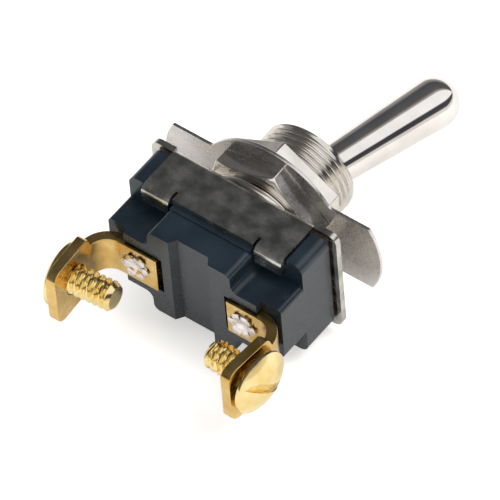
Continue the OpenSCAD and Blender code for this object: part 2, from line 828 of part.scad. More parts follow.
// A slotted screw with its head's seat at z = 0 and its head above.
module terminal_screw(turn) {
    head = screw_head_dia / 2;
    dome_radius = (head * head + screw_dome * screw_dome) / (2 * screw_dome);
    head_top = screw_rim + screw_dome;
    point = screw_dia / 2 - screw_point;
    difference() {
        union() {
            between(0, screw_rim) circle(head);
            intersection() {
                translate([0, 0, head_top - dome_radius]) sphere(dome_radius, $fn = 96);
                between(screw_rim, head_top + cut) circle(head);
            }
        }
        rotate(turn) translate([0, 0, head_top])
            cube([screw_head_dia + cut, slot_cut_width, 2 * slot_cut_depth], center = true);
    }
    between(screw_point - screw_length, 0) circle(d = screw_dia);
    translate([0, 0, -screw_length]) cylinder(r1 = point, d2 = screw_dia, h = screw_point);
}

module switched_screw() {
    color("gold") lay() on_leg() translate([screw_drop, 0, face_gap]) terminal_screw(switched_screw_turn);
}

module common_screw() {
    color("gold") lay() mirror([1, 0, 0]) on_leg() translate([screw_drop, 0, screw_slack])
        terminal_screw(common_screw_turn);
}

case();
mounting_frame();
insulating_sheet();
threaded_bushing();
back_nut();
legend_plate();
front_nut();
lever();
hinge_pin();
plunger();
plunger_spring();
rocker();
moving_contact();
fulcrum_bracket();
fixed_contact();
common_terminal();
switched_terminal();
common_rivet();
switched_rivet();
common_screw();
switched_screw();
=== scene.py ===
"""Dresses the panel toggle switch: plated lever, nuts and frame, moulded case, brass terminals."""

import logging
import math
from dataclasses import dataclass, field
from enum import Enum
from typing import Callable, Optional, Sequence

import bmesh
import bpy
from mathutils import Matrix, Vector


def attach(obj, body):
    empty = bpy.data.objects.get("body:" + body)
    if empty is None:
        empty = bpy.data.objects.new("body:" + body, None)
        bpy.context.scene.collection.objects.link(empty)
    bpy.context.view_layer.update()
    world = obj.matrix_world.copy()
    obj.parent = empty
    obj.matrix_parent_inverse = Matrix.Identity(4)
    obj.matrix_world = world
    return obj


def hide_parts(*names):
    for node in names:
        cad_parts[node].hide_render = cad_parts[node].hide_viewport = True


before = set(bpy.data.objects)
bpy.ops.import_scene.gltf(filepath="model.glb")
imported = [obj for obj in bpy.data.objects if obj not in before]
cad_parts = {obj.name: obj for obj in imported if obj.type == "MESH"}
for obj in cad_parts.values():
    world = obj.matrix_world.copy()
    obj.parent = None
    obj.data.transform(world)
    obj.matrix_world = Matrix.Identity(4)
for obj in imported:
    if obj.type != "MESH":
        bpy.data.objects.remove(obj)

LOG = logging.getLogger("toggle_switch")
MM = 0.001
Colour = tuple[float, float, float]
Profile = Sequence[tuple[float, float]]

# From a drawing with the bushing along +Z, in millimetres, to the row frame in metres.
LAY = Matrix.Rotation(math.radians(90), 4, "X") @ Matrix.Scale(MM, 4)


class Body(Enum):
    """The moving and fixed bodies that pieces ride on."""

    BASE = "base"
    LEVER = "lever_arm"
    BACK_NUT = "back_nut_turning"
    FRONT_NUT = "front_nut_turning"
    COMMON_SCREW = "common_screw_turning"
    SWITCHED_SCREW = "switched_screw_turning"


class Slot(Enum):
    """The record's material slots."""

    PHENOLIC = "phenolic"
    PLATED_STEEL = "plated_steel"
    NICKEL = "nickel"
    BRASS = "brass"
    SILVER = "silver_contact"
    STEEL = "steel"
    FIBRE = "fibre"


class Graph:
    """Short calls for writing a node tree."""

    def __init__(self, tree: bpy.types.NodeTree) -> None:
        """Keeps the tree and empties it.

        Args:
            tree: The tree to write into.
        """
        self.tree = tree
        tree.nodes.clear()

    def add(self, kind: str, inputs: Optional[dict] = None, **settings: object) -> bpy.types.Node:
        """Adds a node, sets its options and fills its inputs.

        Args:
            kind: The node's type name.
            inputs: Socket name or index to a constant or an output socket.
            settings: Options of the node itself.

        Returns:
            The new node.
        """
        node = self.tree.nodes.new(kind)
        for key, value in settings.items():
            setattr(node, key, value)
        for key, value in (inputs or {}).items():
            socket = node.inputs[key]
            if isinstance(value, bpy.types.NodeSocket):
                self.tree.links.new(value, socket)
            else:
                socket.default_value = value
        return node

    def math(self, operation: str, first: object, second: object = 0.0) -> bpy.types.NodeSocket:
        """Adds a Math node.

        Args:
            operation: The operation's name.
            first: The first number or socket.
            second: The second number or socket.

        Returns:
            The result's socket.
        """
        return self.add("ShaderNodeMath", {0: first, 1: second}, operation=operation).outputs[0]


# ---- Finishes ----


@dataclass(frozen=True)
class Finish:
    """A surface finish whose colour, gloss and relief vary over the piece.

    Attributes:
        name: The material's name.
        dark: Colour of the darker patches.
        light: Colour of the lighter patches.
        metallic: 1 for metal, 0 for the rest.
        gloss: Lowest and highest roughness.
        patch: Patches per metre.
        grain: Fine grains per metre.
        relief: Height of the grain, in metres.
        stretch: How much the grain is drawn out along X, Y and Z.
        coat: Weight of a clear glossy layer.
    """

    name: str
    dark: Colour
    light: Colour
    metallic: float = 1.0
    gloss: tuple[float, float] = (0.1, 0.2)
    patch: float = 260.0
    grain: float = 2600.0
    relief: float = 0.000004
    stretch: Colour = (1.0, 1.0, 1.0)
    coat: float = 0.0

    def material(self) -> bpy.types.Material:
        """Makes the material, or returns it if it is made already.

        Returns:
            The node-based material.
        """
        made = bpy.data.materials.get(self.name)
        if made:
            return made
        made = bpy.data.materials.new(self.name)
        made.use_nodes = True
        graph = Graph(made.node_tree)
        place = graph.add("ShaderNodeTexCoord").outputs["Object"]
        patches = graph.add("ShaderNodeTexNoise", {"Vector": place, "Scale": self.patch, "Detail": 5.0})
        drawn = graph.add("ShaderNodeMapping", {"Vector": place, "Scale": self.stretch}).outputs[0]
        grain = graph.add("ShaderNodeTexNoise", {"Vector": drawn, "Scale": self.grain, "Detail": 4.0})
        ramp = graph.add("ShaderNodeMapRange", {0: patches.outputs[0], 1: 0.35, 2: 0.65})
        tint = graph.add("ShaderNodeMix", {0: ramp.outputs[0]}, data_type="RGBA")
        tint.inputs[6].default_value = (*self.dark, 1.0)
        tint.inputs[7].default_value = (*self.light, 1.0)
        blend = graph.math("ADD", graph.math("MULTIPLY", patches.outputs[0], 0.6),
                           graph.math("MULTIPLY", grain.outputs[0], 0.4))
        rough = graph.add("ShaderNodeMapRange",
                          {0: blend, 1: 0.35, 2: 0.65, 3: self.gloss[0], 4: self.gloss[1]})
        bump = graph.add("ShaderNodeBump",
                         {"Strength": 0.6, "Distance": self.relief, "Height": grain.outputs[0]})
        shader = graph.add("ShaderNodeBsdfPrincipled", {
            "Base Color": tint.outputs[2], "Metallic": self.metallic, "Roughness": rough.outputs[0],
            "Normal": bump.outputs[0], "Coat Weight": self.coat, "Coat Roughness": 0.12,
        })
        graph.add("ShaderNodeOutputMaterial", {"Surface": shader.outputs[0]})
        return made


CHROME = Finish("lever_nickel", (0.80, 0.77, 0.74), (0.92, 0.90, 0.88), gloss=(0.05, 0.11), relief=0.000002)
NICKEL = Finish("fastener_nickel", (0.66, 0.63, 0.58), (0.86, 0.83, 0.78), gloss=(0.09, 0.20))
LEGEND = Finish("legend_nickel", (0.70, 0.67, 0.65), (0.84, 0.81, 0.79), gloss=(0.22, 0.34))
SHEET = Finish("frame_sheet", (0.40, 0.40, 0.37), (0.78, 0.77, 0.72), gloss=(0.14, 0.30), patch=520.0,
               grain=3400.0, relief=0.000006, stretch=(0.25, 1.0, 1.0))
PHENOLIC = Finish("moulded_phenolic", (0.006, 0.012, 0.019), (0.013, 0.024, 0.035), metallic=0.0,
                  gloss=(0.24, 0.38),
                  patch=180.0, grain=2200.0, relief=0.000005, coat=0.15)
BRASS = Finish("stamped_brass", (0.66, 0.42, 0.12), (0.86, 0.62, 0.25), gloss=(0.16, 0.30), patch=420.0)
SCREW_BRASS = Finish("screw_brass", (0.86, 0.66, 0.27), (0.98, 0.82, 0.44), gloss=(0.10, 0.20), patch=500.0)
TINNED = Finish("tinned_rivet", (0.72, 0.66, 0.63), (0.94, 0.91, 0.89), gloss=(0.12, 0.26), patch=1500.0,
                relief=0.000012)
SILVER = Finish("contact_silver", (0.80, 0.80, 0.78), (0.92, 0.92, 0.90), gloss=(0.14, 0.26))
STEEL = Finish("drawn_steel", (0.42, 0.42, 0.42), (0.58, 0.58, 0.57), gloss=(0.2, 0.34))
FIBRE = Finish("vulcanised_fibre", (0.12, 0.07, 0.045), (0.22, 0.13, 0.08), metallic=0.0, gloss=(0.6, 0.8),
               relief=0.00001)
INK = Finish("legend_ink", (0.010, 0.010, 0.012), (0.025, 0.025, 0.028), metallic=0.0, gloss=(0.4, 0.6))


# ---- Meshes ----


def piece(name: str, mesh: bpy.types.Mesh, finish: Finish, body: Body, slot: Slot,
          *nodes: str) -> bpy.types.Object:
    """Makes an object of a finished mesh and joins it to the frame.

    Args:
        name: The piece's name.
        mesh: Its mesh, in the row frame.
        finish: What it is made of.
        body: The body it rides on.
        slot: Not used.
        nodes: The solids it stands for.

    Returns:
        The piece.
    """
    made = bpy.data.objects.new(name, mesh)
    bpy.context.scene.collection.objects.link(made)
    mesh.materials.clear()
    mesh.materials.append(finish.material())
    for face in mesh.polygons:
        face.material_index = 0
    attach(made, body.value)
    if nodes:
        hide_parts(*nodes)
    LOG.info("%s: %d faces on %s", name, len(mesh.polygons), body.value)
    return made


def finish_mesh(bm: bmesh.types.BMesh, name: str, place: Optional[Matrix] = None) -> bpy.types.Mesh:
    """Turns a working mesh into a plain one with smooth, outward faces.

    Args:
        bm: The working mesh, which is freed.
        name: The mesh's name.
        place: Where the mesh goes.

    Returns:
        The mesh.
    """
    bmesh.ops.recalc_face_normals(bm, faces=bm.faces)
    mesh = bpy.data.meshes.new(name)
    bm.to_mesh(mesh)
    bm.free()
    if place:
        mesh.transform(place)
    mesh.shade_smooth()
    mesh.set_sharp_from_angle(angle=math.radians(34))
    return mesh


def lathe(profile: Profile, segments: int = 96) -> bmesh.types.BMesh:
    """Turns a profile about Z into a closed shell.

    Args:
        profile: Points of radius and height. It closes on itself unless both ends lie on the axis.
        segments: Steps around the axis.

    Returns:
        The working mesh.
    """
    bm = bmesh.new()
    rings: list[list[bmesh.types.BMVert]] = []
    for radius, height in profile:
        if radius < 1e-9:
            rings.append([bm.verts.new((0.0, 0.0, height))])
            continue
        turns = [2 * math.pi * step / segments for step in range(segments)]
        rings.append([bm.verts.new((radius * math.cos(turn), radius * math.sin(turn), height))
                      for turn in turns])
    closed = len(rings[0]) > 1 and len(rings[-1]) > 1
    pairs = list(zip(rings, rings[1:])) + ([(rings[-1], rings[0])] if closed else [])
    for low, high in pairs:
        for step in range(segments):
            after = (step + 1) % segments
            corners = [low[step % len(low)], low[after % len(low)], high[after % len(high)],
                       high[step % len(high)]]
            unique = list(dict.fromkeys(corners))
            if len(unique) > 2:
                bm.faces.new(unique)
    return bm


def arc(centre: tuple[float, float], radius: float, start: float, end: float,
        steps: int) -> list[tuple[float, float]]:
    """Points of a round corner in a profile.

    Args:
        centre: The corner's centre, as radius and height.
        radius: The corner's own radius.
        start: Direction of the first point, in degrees from outward.
        end: Direction of the last point.
        steps: Steps between them.

    Returns:
        The points in order.
    """
    turns = [math.radians(start + (end - start) * step / steps) for step in range(steps + 1)]
    points = [(centre[0] + radius * math.cos(turn), centre[1] + radius * math.sin(turn)) for turn in turns]
    return [(max(0.0, out) if out > 1e-6 else 0.0, height) for out, height in points]


def evaluated(obj: bpy.types.Object, name: str) -> bpy.types.Mesh:
    """Applies an object's modifiers into a plain mesh and removes the object.

    Args:
        obj: The working object.
        name: The new mesh's name.

    Returns:
        The plain mesh.
    """
    graph = bpy.context.evaluated_depsgraph_get()
    mesh = bpy.data.meshes.new_from_object(obj.evaluated_get(graph))
    mesh.name = name
    obj.modifiers.clear()
    bpy.data.objects.remove(obj)
    return mesh


def working(name: str, mesh: bpy.types.Mesh) -> bpy.types.Object:
    """Links a throwaway object for a mesh."""
    made = bpy.data.objects.new(name, mesh)
    bpy.context.scene.collection.objects.link(made)
    return made


def soften(obj: bpy.types.Object, width: float, segments: int = 3, angle: float = 38.0) -> None:
    """Rounds a piece's sharp edges.

    Args:
        obj: The piece.
        width: Width of the rounding, in millimetres.
        segments: Steps across it.
        angle: Edges sharper than this, in degrees, are rounded.
    """
    bevel = obj.modifiers.new("edge", "BEVEL")
    bevel.width = width * MM
    bevel.segments = segments
    bevel.limit_method = "ANGLE"
    bevel.angle_limit = math.radians(angle)
    bevel.miter_outer = "MITER_ARC"
    even = obj.modifiers.new("even", "WEIGHTED_NORMAL")
    even.keep_sharp = True
    even.weight = 60


def solid_copy(node: str) -> bpy.types.Mesh:
    """A merged copy of a solid's mesh, with its flat faces joined.

    Args:
        node: The solid's node.

    Returns:
        The copy, in the row frame.
    """
    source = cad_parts[node]
    bm = bmesh.new()
    bm.from_mesh(source.data)
    bm.transform(source.matrix_world)
    bmesh.ops.remove_doubles(bm, verts=bm.verts, dist=2e-6)
    bmesh.ops.dissolve_limit(bm, angle_limit=math.radians(0.6), verts=bm.verts, edges=bm.edges)
    mesh = bpy.data.meshes.new(node + "_shape")
    bm.to_mesh(mesh)
    bm.free()
    mesh.shade_smooth()
    mesh.set_sharp_from_angle(angle=math.radians(50))
    return mesh


# ---- Geometry Nodes ----


class Rule:
    """A Geometry Nodes tree with named inputs, applied to a mesh."""

    def __init__(self, name: str, numbers: Sequence[str],
                 write: Callable[[Graph, dict], bpy.types.NodeSocket]) -> None:
        """Writes the tree.

        Args:
            name: The tree's name.
            numbers: Names of its number inputs.
            write: Adds the nodes and returns the geometry's socket.
        """
        self.tree = bpy.data.node_groups.new(name, "GeometryNodeTree")
        face = self.tree.interface
        face.new_socket("Geometry", in_out="INPUT", socket_type="NodeSocketGeometry")
        self.keys = {n: face.new_socket(n, in_out="INPUT", socket_type="NodeSocketFloat").identifier
                     for n in numbers}
        self.surface = face.new_socket("Finish", in_out="INPUT",
                                       socket_type="NodeSocketMaterial").identifier
        face.new_socket("Geometry", in_out="OUTPUT", socket_type="NodeSocketGeometry")
        graph = Graph(self.tree)
        given = graph.add("NodeGroupInput").outputs
        shape = write(graph, given)
        real = graph.add("GeometryNodeRealizeInstances", {0: shape}).outputs[0]
        dressed = graph.add("GeometryNodeSetMaterial",
                            {"Geometry": real, "Material": given["Finish"]}).outputs[0]
        graph.add("NodeGroupOutput", {0: dressed})

    def apply(self, mesh: bpy.types.Mesh, finish: Finish, **sizes: float) -> bpy.types.Mesh:
        """Runs the tree on a mesh.

        Args:
            mesh: The starting mesh.
            finish: The finish the tree sets.
            sizes: Named inputs, with spaces written as underscores.

        Returns:
            A plain mesh.
        """
        obj = working(mesh.name, mesh)
        modifier = obj.modifiers.new(self.tree.name, "NODES")
        modifier.node_group = self.tree
        for name, key in self.keys.items():
            modifier[key] = float(sizes[name.lower().replace(" ", "_")])
        modifier[self.surface] = finish.material()
        result = evaluated(obj, mesh.name)
        result.shade_smooth()
        result.set_sharp_from_angle(angle=math.radians(75))
        return result


def write_thread(graph: Graph, given: dict) -> bpy.types.NodeSocket:
    """Cuts a right-handed helical thread into the wall at the crest radius.

    Args:
        graph: The tree.
        given: Its inputs.

    Returns:
        The threaded geometry.
    """
    place = graph.add("GeometryNodeInputPosition").outputs[0]
    x, y, z = graph.add("ShaderNodeSeparateXYZ", {0: place}).outputs
    radius = graph.math("SQRT",
                        graph.math("ADD", graph.math("MULTIPLY", x, x), graph.math("MULTIPLY", y, y)))
    turn = graph.math("DIVIDE", graph.math("ARCTAN2", y, x), 2 * math.pi)
    phase = graph.math("FRACT", graph.math("SUBTRACT", graph.math("DIVIDE", z, given["Pitch"]), turn))
    ridge = graph.math("MULTIPLY", graph.math("ABSOLUTE", graph.math("SUBTRACT", phase, 0.5)), 2.0)
    groove = graph.add("ShaderNodeMapRange", {0: ridge, 1: 0.14, 2: 0.9}).outputs[0]
    wall = graph.math("GREATER_THAN", radius, graph.math("SUBTRACT", given["Crest"], 0.02))
    low = graph.add("ShaderNodeMapRange",
                    {0: z, 1: given["Start"], 2: graph.math("ADD", given["Start"], given["Pitch"])})
    high = graph.add("ShaderNodeMapRange", {0: z, 1: graph.math("SUBTRACT", given["End"], given["Pitch"]),
                                            2: given["End"], 3: 1.0, 4: 0.0})
    fade = graph.math("MULTIPLY", low.outputs[0], high.outputs[0])
    cut = graph.math("MULTIPLY", graph.math("MULTIPLY", groove, wall),
                     graph.math("MULTIPLY", fade, given["Depth"]))
    ratio = graph.math("DIVIDE", graph.math("SUBTRACT", radius, cut), graph.math("MAXIMUM", radius, 0.0001))
    moved = graph.add("ShaderNodeCombineXYZ",
                      {0: graph.math("MULTIPLY", x, ratio), 1: graph.math("MULTIPLY", y, ratio), 2: z})
    return graph.add("GeometryNodeSetPosition",
                     {"Geometry": given["Geometry"], "Position": moved.outputs[0]}).outputs[0]


def write_ring(graph: Graph, given: dict) -> bpy.types.NodeSocket:
    """Repeats a leaf around Z, each one a little longer or shorter.

    Args:
        graph: The tree.
        given: Its inputs.

    Returns:
        The ring of leaves.
    """
    points = graph.add("GeometryNodePoints", {"Count": given["Count"]}).outputs[0]
    index = graph.add("GeometryNodeInputIndex").outputs[0]
    turn = graph.math("MULTIPLY", graph.math("DIVIDE", index, given["Count"]), 2 * math.pi)
    spin = graph.add("ShaderNodeCombineXYZ", {2: turn}).outputs[0]
    lowest = graph.math("SUBTRACT", 1.0, given["Unevenness"])
    size = graph.add("FunctionNodeRandomValue", {2: lowest, 3: 1.0, "Seed": 7},
                     data_type="FLOAT").outputs[1]
    grown = graph.add("ShaderNodeCombineXYZ", {0: size, 1: size, 2: 1.0}).outputs[0]
    return graph.add("GeometryNodeInstanceOnPoints", {
        "Points": points, "Instance": given["Geometry"], "Rotation": spin, "Scale": grown,
    }).outputs[0]


THREAD = Rule("helical_thread", ("Pitch", "Depth", "Crest", "Start", "End"), write_thread)
RING = Rule("petal_ring", ("Count", "Unevenness"), write_ring)


# ---- Sub-assemblies ----


@dataclass
class Housing:
    """The moulded case in its folded frame.

    Attributes:
        case_edge: Rounding of the moulding's edges.
        sheet_edge: Rounding of the frame's sheared edges.
    """

    case_edge: float = 0.22
    sheet_edge: float = 0.10

    def build(self) -> None:
        """Builds and dresses the pieces."""
        case = piece("case_moulding", solid_copy("case"), PHENOLIC, Body.BASE, Slot.PHENOLIC, "case")
        soften(case, self.case_edge, 4)
        sheet = piece("frame_pressing", solid_copy("mounting_frame"), SHEET, Body.BASE, Slot.PLATED_STEEL,
                      "mounting_frame")
        soften(sheet, self.sheet_edge)


@dataclass
class Bushing:
    """The threaded bushing with its nuts and the legend plate, in millimetres.

    Attributes:
        crest: Radius of the thread's crests.
        height: Height of the bushing above the plate.
        pitch: Distance between two turns of the thread.
        depth: Depth of the thread.
    """

    crest: float = 5.95
    height: float = 11.15
    pitch: float = 0.794
    depth: float = 0.42
    flange: tuple[float, float] = (7.3, 0.6)
    spigot: float = 5.1
    stake: tuple[float, float] = (5.6, -1.05)
    mouth: tuple[float, float] = (4.65, 7.25)
    bore: float = 3.75
    bore_base: float = 4.4
    plate: float = 0.75
    legend_front: float = 4.32
    word_height: float = 2.7
    words: dict[str, float] = field(default_factory=lambda: {"ON": -11.6, "OFF": 11.6})

    def profile(self) -> list[tuple[float, float]]:
        """Outline of the bushing from its staked lip round to its bore.

        Returns:
            The closed outline, with close rings along the thread.
        """
        low = self.flange[1]
        rings = 130
        wall = [(self.crest, low + 0.02 + (self.height - 0.35 - low) * step / rings)
                for step in range(rings + 1)]
        return [
            (self.bore_base, self.stake[1]), (self.stake[0], self.stake[1]), (self.stake[0], -self.plate),
            (self.spigot, -self.plate), (self.spigot, 0.0), (self.flange[0] - 0.08, 0.0),
            (self.flange[0], 0.08), (self.flange[0], low - 0.1), (self.flange[0] - 0.1, low),
            (self.crest + 0.01, low),
            *wall, (self.crest - 0.32, self.height), (self.mouth[0] + 0.12, self.height),
            (self.mouth[0], self.height - 0.12), (self.bore, self.mouth[1]), (self.bore, low),
            (self.bore_base, low),
        ]

    def build(self) -> None:
        """Builds and dresses the pieces."""
        mesh = finish_mesh(lathe(self.profile(), 128), "bushing_thread")
        mesh = THREAD.apply(mesh, NICKEL, pitch=self.pitch, depth=self.depth, crest=self.crest,
                            start=self.flange[1] + 0.2, end=self.height - 0.1)
        mesh.transform(LAY)
        piece("bushing_thread", mesh, NICKEL, Body.BASE, Slot.NICKEL, "threaded_bushing")
        for node, body in (("back_nut", Body.BACK_NUT), ("front_nut", Body.FRONT_NUT)):
            soften(piece(node + "_hexagon", solid_copy(node), NICKEL, body, Slot.NICKEL, node), 0.12)
        legend = piece("legend_stamping", solid_copy("legend_plate"), LEGEND, Body.BASE, Slot.NICKEL,
                       "legend_plate")
        soften(legend, 0.08)
        for word, place in self.words.items():
            self.letter(word, place)

    def letter(self, word: str, place: float) -> None:
        """Marks one position of the lever on the legend's front.

        Args:
            word: The marking.
            place: Its middle along the plate.
        """
        curve = bpy.data.curves.new("word_" + word.lower(), "FONT")
        curve.body = word
        curve.size = self.word_height
        curve.extrude = 0.012
        curve.align_x = "CENTER"
        curve.align_y = "CENTER"
        mesh = evaluated(working("word", curve), "word_" + word.lower())
        across = Matrix(((0, -1, 0, place), (1, 0, 0, 0), (0, 0, 1, self.legend_front), (0, 0, 0, 1)))
        mesh.transform(LAY @ across)
        piece("word_" + word.lower(), mesh, INK, Body.BASE, Slot.NICKEL)


@dataclass
class Lever:
    """The bat lever, in millimetres.

    Attributes:
        pivot: Height of the pivot above the plate.
        tilt: Tilt at rest, in degrees.
        reach: Pivot to the centre of the round end.
        root: Radius of the bat at the pivot.
        tip: Radius of the round end.
    """

    pivot: float = 5.0
    tilt: float = 16.0
    reach: float = 21.4
    root: float = 2.0
    tip: float = 2.95
    ball: float = 3.4
    barrel: tuple[float, float] = (2.0, 7.3)
    hole: tuple[float, float] = (1.45, 1.95)

    def build(self) -> None:
        """Builds and dresses the lever."""
        neck = math.degrees(math.asin(self.root / self.ball))
        profile = [(0.0, -self.hole[1]), (self.hole[0], -self.hole[1]), (self.hole[0], -self.barrel[1])]
        profile += [(self.barrel[0], -self.barrel[1])]
        profile += arc((0.0, 0.0), self.ball, neck - 90, 90 - neck - 2, 28)
        slope = (self.tip - self.root) / self.reach
        profile += [(self.root + slope * z, z) for z in (3.0, 6.0, 10.0, 14.0, 18.0, 20.5)]
        profile += arc((0.0, self.reach), self.tip, 0.0, 90.0, 24)
        place = (LAY @ Matrix.Translation((0, 0, self.pivot))
                 @ Matrix.Rotation(math.radians(-self.tilt), 4, "Y"))
        mesh = finish_mesh(lathe(profile, 128), "lever_bat", place)
        piece("lever_bat", mesh, CHROME, Body.LEVER, Slot.NICKEL, "lever")


@dataclass
class Terminals:
    """The two brass terminals with their rivets and screws, in millimetres.

    Attributes:
        bend: Height and place of the bend's centre.
        outside: Outside radius of the bend.
        lean: Inward lean of the legs, in degrees.
        drop: End of the bend to the screw's axis.
        gaps: Gap under each screw's head.
        turns: Turn of each screw.
    """

    bend: tuple[float, float] = (9.45, -13.3)
    outside: float = 3.45
    lean: float = 4.0
    drop: float = 2.8
    gaps: dict[str, float] = field(default_factory=lambda: {"common": 0.45, "switched": 0.02})
    turns: dict[str, float] = field(default_factory=lambda: {"common": -40.0, "switched": -25.0})
    head: float = 3.8
    rim: float = 0.5
    dome: float = 1.3
    slot_size: tuple[float, float] = (1.1, 1.0)
    shank: float = 1.75
    shank_length: float = 6.4
    pitch: float = 0.794
    rivet_at: tuple[float, float] = (7.2, -11.1)
    rivet_depths: dict[str, float] = field(default_factory=lambda: {"common": 3.65, "switched": 3.05})
    rivet_radius: float = 1.25
    petal_reach: float = 2.05

    def side(self, end: str) -> Matrix:
        """Turns a drawing of the +X end about the bushing's axis for the -X end."""
        return LAY @ Matrix.Rotation(math.pi if end == "common" else 0.0, 4, "Z")

    def head_mesh(self, turn: float) -> bpy.types.Mesh:
        """Makes a slotted head with its seat at height 0.

        Args:
            turn: Turn of the slot, in degrees.

        Returns:
            The head, with its edges rounded.
        """
        ball = (self.head ** 2 + self.dome ** 2) / (2 * self.dome)
        top = self.rim + self.dome
        edge = math.degrees(math.acos(self.head / ball))
        profile = [(0.0, 0.0), (self.head - 0.15, 0.0), (self.head, 0.15), (self.head, self.rim)]
        profile += arc((0.0, top - ball), ball, edge + 0.8, 90.0, 16)
        head = working("head", finish_mesh(lathe(profile, 96), "head"))
        bm = bmesh.new()
        place = Matrix.Rotation(math.radians(turn), 4, "Z") @ Matrix.Translation((0, 0, top))
        size = Matrix.Diagonal((3 * self.head, self.slot_size[0], 2 * self.slot_size[1], 1.0))
        bmesh.ops.create_cube(bm, size=1.0, matrix=place @ size)
        cutter = working("cutter", finish_mesh(bm, "cutter"))
        boolean = head.modifiers.new("slot", "BOOLEAN")
        boolean.object = cutter
        boolean.solver = "EXACT"
        bevel = head.modifiers.new("edge", "BEVEL")
        bevel.width = 0.09
        bevel.segments = 2
        bevel.limit_method = "ANGLE"
        bevel.angle_limit = math.radians(40)
        mesh = evaluated(head, "screw_head")
        bpy.data.objects.remove(cutter)
        return mesh

    def screw(self, end: str) -> None:
        """Builds one terminal screw.

        Args:
            end: common or switched.
        """
        rings = 64
        tip = -self.shank_length
        wall = [(self.shank, tip + 0.4 + (self.shank_length - 0.35) * step / rings)
                for step in range(rings + 1)]
        shank = finish_mesh(lathe([(0.0, tip), (self.shank - 0.4, tip), *wall, (0.0, 0.3)], 48), "shank")
        shank = THREAD.apply(shank, SCREW_BRASS, pitch=self.pitch, depth=0.42, crest=self.shank,
                             start=tip + 0.1, end=0.3)
        bm = bmesh.new()
        bm.from_mesh(shank)
        bm.from_mesh(self.head_mesh(self.turns[end]))
        out = math.radians(self.lean)
        place = (self.bend[0] + self.outside * math.cos(out), 0.0,
                 self.bend[1] - self.outside * math.sin(out))
        local = Matrix.Translation(place) @ Matrix.Rotation(math.radians(90 + self.lean), 4, "Y")
        seat = self.side(end) @ local @ Matrix.Translation((self.drop, 0, self.gaps[end]))
        mesh = finish_mesh(bm, end + "_screw_turned", seat)
        body = Body.COMMON_SCREW if end == "common" else Body.SWITCHED_SCREW
        piece(end + "_screw_turned", mesh, SCREW_BRASS, body, Slot.BRASS, end + "_screw")

    def leaf(self) -> bpy.types.Mesh:
        """Makes one cupped petal, from the rivet's hollow out along +X.

        Returns:
            The closed petal.
        """
        bm = bmesh.new()
        rows, across = 7, 5
        layers = []
        for lift in (0.0, 0.13):
            grid = []
            for row in range(rows + 1):
                u = row / rows
                width = 0.62 * (0.75 + 0.6 * u) * (1.0 - u ** 4 * 0.55)
                out = 0.75 + (self.petal_reach - 0.75) * u
                height = 0.02 + 0.24 * math.sin(math.pi * min(1.0, u * 1.25) * 0.75)
                line = []
                for col in range(across + 1):
                    v = 2 * col / across - 1
                    cup = 0.05 * (1 - v * v)
                    line.append(bm.verts.new((out - 0.12 * v * v * u, width * v,
                                              height + lift - 0.05 + cup)))
                grid.append(line)
            layers.append(grid)
        low, high = layers
        for row in range(rows):
            for col in range(across):
                for grid in layers:
                    bm.faces.new((grid[row][col], grid[row][col + 1], grid[row + 1][col + 1],
                                  grid[row + 1][col]))
        border = [(0, c) for c in range(across)] + [(r, across) for r in range(rows)]
        border += [(rows, c) for c in range(across, 0, -1)] + [(r, 0) for r in range(rows, 0, -1)]
        for (r1, c1), (r2, c2) in zip(border, border[1:] + border[:1]):
            bm.faces.new((low[r1][c1], low[r2][c2], high[r2][c2], high[r1][c1]))
        return finish_mesh(bm, "petal")

    def rivet(self, end: str) -> None:
        """Builds one rivet with its spread petals.

        Args:
            end: common or switched.
        """
        depth = self.rivet_depths[end] if end == "common" else self.rivet_depths["switched"]
        r = self.rivet_radius
        profile = [
            (0.0, -0.05), (0.35, -0.04), (0.75, 0.16), (1.05, 0.24), (r + 0.22, 0.18), (r + 0.3, 0.03),
            (r, 0.0),
            (r, -depth), (2.0, -depth), (2.0, -depth - 0.6), (0.0, -depth - 0.6),
        ]
        body = finish_mesh(lathe(profile, 48), "rivet")
        petals = RING.apply(self.leaf(), TINNED, count=6, unevenness=0.16)
        bm = bmesh.new()
        bm.from_mesh(body)
        bm.from_mesh(petals)
        at = Matrix.Translation((self.rivet_at[0], 0, self.rivet_at[1])) @ Matrix.Rotation(math.pi, 4, "X")
        mesh = finish_mesh(bm, end + "_rivet_swaged", self.side(end) @ at)
        piece(end + "_rivet_swaged", mesh, TINNED, Body.BASE, Slot.PLATED_STEEL, end + "_rivet")

    def build(self) -> None:
        """Builds and dresses both ends."""
        for end in ("common", "switched"):
            strip = piece(end + "_terminal_strip", solid_copy(end + "_terminal"), BRASS, Body.BASE,
                          Slot.BRASS,
                          end + "_terminal")
            soften(strip, 0.16)
            self.screw(end)
            self.rivet(end)


@dataclass
class Workings:
    """The hidden pieces, which keep their solids and take a finish."""

    finishes: dict[str, Finish] = field(default_factory=lambda: {
        "insulating_sheet": FIBRE, "hinge_pin": STEEL, "plunger": BRASS, "plunger_spring": STEEL,
        "rocker": BRASS, "moving_contact": SILVER, "fulcrum_bracket": BRASS, "fixed_contact": SILVER,
    })

    def build(self) -> None:
        """Dresses the pieces."""
        for node, finish in self.finishes.items():
            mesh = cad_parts[node].data
            mesh.materials.clear()
            mesh.materials.append(finish.material())
            LOG.info("%s: dressed as %s", node, finish.name)


# ---- Studio ----


